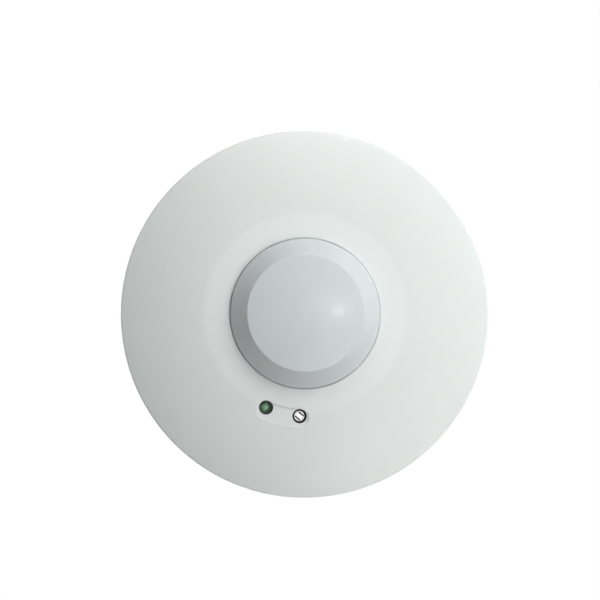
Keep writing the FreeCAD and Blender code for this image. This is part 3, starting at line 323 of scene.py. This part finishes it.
def turned_metal(name):
    """The rotor's nickel plate, with a painted highlight on its pressed strip, painted shade down
    in its cut floors and a painted shade ring at its edge.
    """
    made = Surface(name)
    scratch = made.noise(1.0, 3.0, 0.6, made.mapped((9000.0, 2500.0, 2500.0)))
    # Masks for a painted highlight on the strip, painted shade down in the cut floors, and a
    # painted shade ring at the rotor's edge
    strip = made.height(-0.00436, -0.00424)
    painted_shade_cuts = made.height(-0.00412, -0.00396)
    edge = made.reach(0.00132, 0.00158, joints["adjuster_turn"]["pos_m"])
    land = made.mix(made.spread(scratch, 0.3, 0.7), (0.84, 0.85, 0.85), (0.62, 0.63, 0.63))
    # The strip gets its painted highlight, the edge its painted shade ring, and the cut floors
    # painted shade
    with_painted_highlight = made.mix(strip, land, (0.95, 0.96, 0.96))
    plated = made.mix(edge, with_painted_highlight, (0.20, 0.20, 0.20))
    made.colour(made.mix(painted_shade_cuts, plated, (0.04, 0.04, 0.04)))
    made.rough(made.spread(painted_shade_cuts, 0.0, 1.0, 0.16, 0.5))
    made.normal(made.bump(scratch, 0.000004))
    made.set(Metallic=1.0)
    return made


def circuit_board(name):
    """Solder mask over fibreglass: glossy green, with the weave and tracks faint below it."""
    made = Surface(name)
    weave = made.node("TexWave", Scale=420.0, Distortion=1.0)
    made.link(made.place, weave.inputs["Vector"])
    tracks = made.node("TexVoronoi", feature="DISTANCE_TO_EDGE", distance="MANHATTAN", Scale=260.0)
    made.link(made.place, tracks.inputs["Vector"])
    woven = made.spread(weave.outputs["Fac"], 0.2, 0.8)
    base = made.mix(woven, (0.012, 0.085, 0.035), (0.018, 0.11, 0.045))
    line = made.spread(tracks.outputs["Distance"], 0.05, 0.09, 1.0, 0.0)
    made.colour(made.mix(line, base, (0.03, 0.17, 0.07)))
    made.rough(made.spread(made.noise(900.0), 0.3, 0.7, 0.22, 0.34))
    made.normal(made.bump(line, 0.00003))
    return made


def clear_green(name):
    """The lamp's milky green resin, which scatters light, with painted shade on its back down in
    the hole.
    """
    made = Surface(name)
    swirl = made.noise(900.0)
    cap = made.mix(made.spread(swirl, 0.3, 0.7), (0.22, 0.55, 0.26), (0.32, 0.66, 0.36))
    # Painted shade: the lens is coloured dark green towards its back, down in the hole
    made.colour(made.mix(made.height(-0.0064, -0.0056), cap, (0.03, 0.12, 0.05)))
    made.rough(made.spread(swirl, 0.3, 0.7, 0.05, 0.10))
    made.set(IOR=1.5, Transmission_Weight=0.55, Coat_Weight=0.6, Coat_Roughness=0.04)
    made.set(Subsurface_Weight=0.5, Subsurface_Scale=0.0006, Subsurface_Radius=(0.4, 1.0, 0.5))
    return made


def clear_glass(name):
    """The fuse's glass tube, clear and faintly uneven."""
    made = Surface(name)
    swirl = made.noise(600.0)
    made.colour(made.mix(made.spread(swirl, 0.3, 0.7), (0.92, 0.95, 0.94), (0.97, 0.98, 0.98)))
    made.rough(made.spread(swirl, 0.3, 0.7, 0.02, 0.06))
    made.set(IOR=1.5, Transmission_Weight=1.0)
    return made


plastics = (
    # name, colour, roughness, grain depth, grain scale, patch, worn
    ("radome_grey", (0.67, 0.715, 0.713), 0.31, 0.000012, 2600.0, 0.02, 1.08),
    ("housing_white", (0.74, 0.76, 0.745), 0.45, 0.00002, 1800.0, 0.03, 1.05),
    ("cover_white", (0.76, 0.775, 0.76), 0.42, 0.00002, 2000.0, 0.03, 1.05),
    ("clip_grey", (0.33, 0.34, 0.35), 0.38, 0.000016, 2200.0, 0.06, 1.3),
    ("adjuster_black", (0.02, 0.021, 0.022), 0.34, 0.00001, 3000.0, 0.1, 1.6),
    ("chip_black", (0.022, 0.022, 0.024), 0.50, 0.00002, 4000.0, 0.15, 1.4),
    ("chip_grey", (0.13, 0.13, 0.135), 0.5, 0.00002, 4000.0, 0.15, 1.4),
    ("header_black", (0.025, 0.025, 0.027), 0.42, 0.000012, 3000.0, 0.1, 1.5),
    ("relay_black", (0.03, 0.03, 0.033), 0.36, 0.00001, 2400.0, 0.1, 1.5),
    ("film_grey", (0.42, 0.43, 0.44), 0.4, 0.00001, 2400.0, 0.03, 1.05),
    ("ferrite", (0.05, 0.048, 0.047), 0.55, 0.00004, 2600.0, 0.2, 1.6),
    ("bobbin_tape", (0.62, 0.50, 0.12), 0.3, 0.00001, 1600.0, 0.08, 1.05),
    ("can_sleeve", (0.03, 0.04, 0.09), 0.3, 0.00001, 2400.0, 0.1, 1.5),
    ("varistor_blue", (0.03, 0.12, 0.38), 0.32, 0.00003, 900.0, 0.12, 1.05),
    ("terminal_green", (0.05, 0.30, 0.16), 0.36, 0.000012, 2400.0, 0.08, 1.05),
    ("clamp_white", (0.70, 0.72, 0.71), 0.45, 0.00002, 2000.0, 0.03, 1.05),
)
metals = (
    # name, colour, roughness, brush
    ("spring_steel", (0.62, 0.61, 0.59), 0.24, (900.0, 5000.0, 900.0)),
    ("pin_steel", (0.60, 0.60, 0.60), 0.26, (300.0, 6000.0, 300.0)),
    ("screw_steel", (0.66, 0.65, 0.63), 0.30, (1500.0, 1500.0, 400.0)),
    ("lead_tin", (0.72, 0.72, 0.71), 0.34, (400.0, 400.0, 6000.0)),
    ("copper", (0.80, 0.45, 0.28), 0.30, (400.0, 400.0, 6000.0)),
    ("shield_tin", (0.70, 0.70, 0.69), 0.30, (300.0, 4000.0, 300.0)),
    ("cage_brass", (0.74, 0.62, 0.36), 0.28, (400.0, 400.0, 6000.0)),
)
finishes = {
    "fascia_white": face_plastic("fascia_white"),
    "adjuster_metal": turned_metal("adjuster_metal"),
    "board_green": circuit_board("board_green"),
    "lamp_green": clear_green("lamp_green"),
    "fuse_glass": clear_glass("fuse_glass"),
}
for name, *values in plastics:
    finishes[name] = moulded(name, *values)
for name, *values in metals:
    finishes[name] = metal(name, *values)

# The dome is faintly glossy, and a little light passes into its plastic and the face's
finishes["radome_grey"].set(Coat_Weight=0.06, Coat_Roughness=0.09)
for name in ("fascia_white", "radome_grey"):
    finishes[name].set(Subsurface_Weight=0.3, Subsurface_Scale=0.0006)
    finishes[name].set(Subsurface_Radius=(1.0, 1.0, 1.0))

for node in frame["nodes"].values():
    for slot in node.material_slots:
        slot.material = finishes[slot.material.name.split(".")[0]].material


# Clip springs: each is one drawn wire wound round the hinge pin, with a leg at either end
wire_radius = 0.0004
wire_facets = 20
coil_radius = 0.00195
coil_pitch = 0.00135
# Three turns, and 48 degrees more to bring the wire's end in line with the arm
coil_turns = 3 + 48 / 360
coil_half_width = coil_pitch * coil_turns / 2
coil_steps = 150
wall_leg = 0.009
arm_leg = 0.013
leg_steps = 12
# The coil starts and stops level over this share of its length
coil_ramp = 0.06
# How far in from a cut end each ring lies, and its share of the wire's radius
cut_end = ((0.0, 0.62), (0.00005, 0.86), (0.00016, 1.0))


def eased(share):
    """A steady climb from 0 to 1 that starts and stops level."""
    speed = 1 / (1 - coil_ramp)
    if share < coil_ramp:
        return speed * share * share / (2 * coil_ramp)
    if share > 1 - coil_ramp:
        return 1 - speed * (1 - share) ** 2 / (2 * coil_ramp)
    return speed * (share - coil_ramp / 2)


def spring_line(hinge, side):
    """The middle of the wire, from the end on the housing to the end on the arm."""
    coil = []
    for index in range(coil_steps + 1):
        share = index / coil_steps
        angle = math.pi + 2 * math.pi * coil_turns * share
        along = coil_half_width * (2 * eased(share) - 1)
        coil.append(Vector((coil_radius * math.cos(angle), along, coil_radius * math.sin(angle))))
    last_angle = math.pi + 2 * math.pi * coil_turns
    out = Vector((-math.sin(last_angle), 0, math.cos(last_angle)))
    up = Vector((0, 0, 1))
    wall = [coil[0] + up * wall_leg * (1 - index / leg_steps) for index in range(leg_steps)]
    arm = [coil[-1] + out * arm_leg * (index + 1) / leg_steps for index in range(leg_steps)]
    turn = Matrix.Rotation(0 if side > 0 else math.pi, 3, "Z")
    return [Vector(hinge) + turn @ point for point in wall + coil + arm]


def wire_mesh(name, line):
    """A round wire along a line, with its cut ends a little rounded."""
    first = (line[1] - line[0]).normalized()
    last = (line[-1] - line[-2]).normalized()
    rings = [(line[0] + first * inset, share) for inset, share in cut_end]
    rings += [(point, 1.0) for point in line[1:-1]]
    rings += [(line[-1] - last * inset, share) for inset, share in reversed(cut_end)]
    verts = []
    for index, (point, share) in enumerate(rings):
        before = rings[max(index - 1, 0)][0]
        after = rings[min(index + 1, len(rings) - 1)][0]
        way = (after - before).normalized()
        side = (Vector((0, 1, 0)) - way * way.y).normalized()
        other = way.cross(side)
        for step in range(wire_facets):
            angle = 2 * math.pi * step / wire_facets
            spoke = side * math.cos(angle) + other * math.sin(angle)
            verts.append(point + spoke * wire_radius * share)
    faces = []
    for start in range(0, len(verts) - wire_facets, wire_facets):
        for step in range(wire_facets):
            a = start + step
            b = start + (step + 1) % wire_facets
            faces.append((a, b, b + wire_facets, a + wire_facets))
    faces.append(tuple(reversed(range(wire_facets))))
    faces.append(tuple(range(len(verts) - wire_facets, len(verts))))
    mesh = bpy.data.meshes.new(name)
    mesh.from_pydata(verts, [], faces)
    mesh.polygons.foreach_set("use_smooth", [len(face) == 4 for face in faces])
    mesh.update()
    return mesh


for name, side in (("left", 1), ("right", -1)):
    hinge = joints[f"clip_{name}_fold"]["pos_m"]
    mesh = wire_mesh(f"spring_wire_{name}", spring_line(hinge, side))
    mesh.materials.append(finishes["spring_steel"].material)
    spring = bpy.data.objects.new(f"spring_wire_{name}", mesh)
    bpy.context.collection.objects.link(spring)
    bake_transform(spring)
    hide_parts(f"clip_spring_{name}")


# Floor: pale and plain, far below the face and behind the camera
floor_half_width = 30.0
floor_level = -1.6
floor_white_share = 0.97

corners = ((-1, -1), (1, -1), (1, 1), (-1, 1))
floor_points = [(x * floor_half_width, y * floor_half_width, floor_level) for x, y in corners]
floor_mesh = bpy.data.meshes.new("floor")
floor_mesh.from_pydata(floor_points, [], [(0, 1, 2, 3)])
floor = bpy.data.objects.new("floor", floor_mesh)
bpy.context.collection.objects.link(floor)

pale = Surface("floor_pale")
grain = pale.spread(pale.noise(40.0, 4.0), 0.3, 0.7)
pale.colour(pale.mix(grain, (0.86, 0.86, 0.85), (0.88, 0.88, 0.87)))
pale.set(Roughness=0.8)
white = pale.node("Emission", Color=(1.0, 1.0, 1.0, 1.0))
floor_mix = pale.node("MixShader")
seen = pale.times(rays(pale.tree, "Is Camera Ray", "Is Glossy Ray"), floor_white_share)
pale.link(seen, floor_mix.inputs[0])
pale.link(pale.shader.outputs[0], floor_mix.inputs[1])
pale.link(white.outputs[0], floor_mix.inputs[2])
pale.link(floor_mix.outputs[0], pale.tree.nodes["Material Output"].inputs["Surface"])
floor_mesh.materials.append(pale.material)
